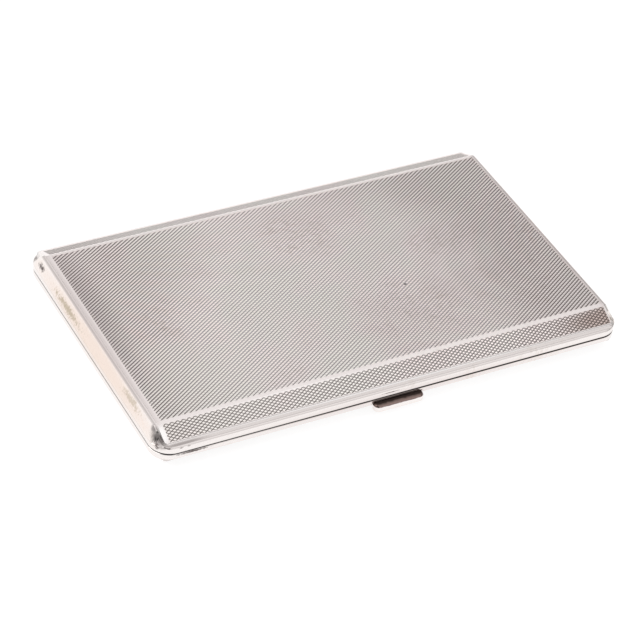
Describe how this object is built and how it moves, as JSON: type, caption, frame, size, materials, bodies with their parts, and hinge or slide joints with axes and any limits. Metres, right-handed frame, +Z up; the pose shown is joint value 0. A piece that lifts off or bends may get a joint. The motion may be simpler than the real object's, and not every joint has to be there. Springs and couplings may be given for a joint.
{
  "type": "cigarette case",
  "caption": "Slim rectangular cigarette case with bevelled engine-turned covers in moulded rims, a long hinge at the back and a sprung thumb catch at the front.",
  "frame": {"origin": "middle of the flat bottom that the shut case rests on", "axes": "+X along the length, +Y from the thumb-piece at the front to the hinge at the back, +Z up through the lid"},
  "size_m": [0.134, 0.0867, 0.0102],
  "materials": {
    "polished_silver": "polished silver, warm grey, with fine wear",
    "turned_silver": "engine-turned silver, fine diagonal lines broken into beads",
    "gilt": "gold-washed inside",
    "steel": "bright spring steel",
    "elastic": "ribbed woven elastic"
  },
  "bodies": {
    "base": {"base_frame": "polished_silver", "base_cover": "turned_silver", "base_knuckle_1": "polished_silver", "base_knuckle_3": "polished_silver", "base_knuckle_5": "polished_silver", "base_knuckle_7": "polished_silver", "base_knuckle_9": "polished_silver", "hinge_pin": "steel", "hinge_plug_left": "polished_silver", "hinge_plug_right": "polished_silver", "catch_spring": "steel", "catch_block_left": "gilt", "catch_block_right": "gilt", "catch_rivet_left": "steel", "catch_rivet_right": "steel", "inner_rim_left": "gilt", "inner_rim_right": "gilt", "elastic_strap": "elastic", "strap_staple_left": "gilt", "strap_staple_right": "gilt"},
    "lid": {"lid_frame": "polished_silver", "lid_cover": "turned_silver", "lid_knuckle_2": "polished_silver", "lid_knuckle_4": "polished_silver", "lid_knuckle_6": "polished_silver", "lid_knuckle_8": "polished_silver", "lid_strike": "gilt"},
    "thumb": {"thumb_piece": "polished_silver"}
  },
  "joints": [
    {"name": "lid_hinge", "type": "hinge", "parent": "base", "child": "lid", "pos_m": [0, 0.042, 0.0048], "axis": [-1, 0, 0], "range_deg": [0, 175], "deforming": ["catch_spring"]},
    {"name": "thumb_press", "type": "slide", "parent": "base", "child": "thumb", "axis": [0, 1, 0], "range_m": [0, 0.0009], "stiffness_N_per_m": 1500, "springref_m": -0.0003, "deforming": ["catch_spring"]}
  ]
}
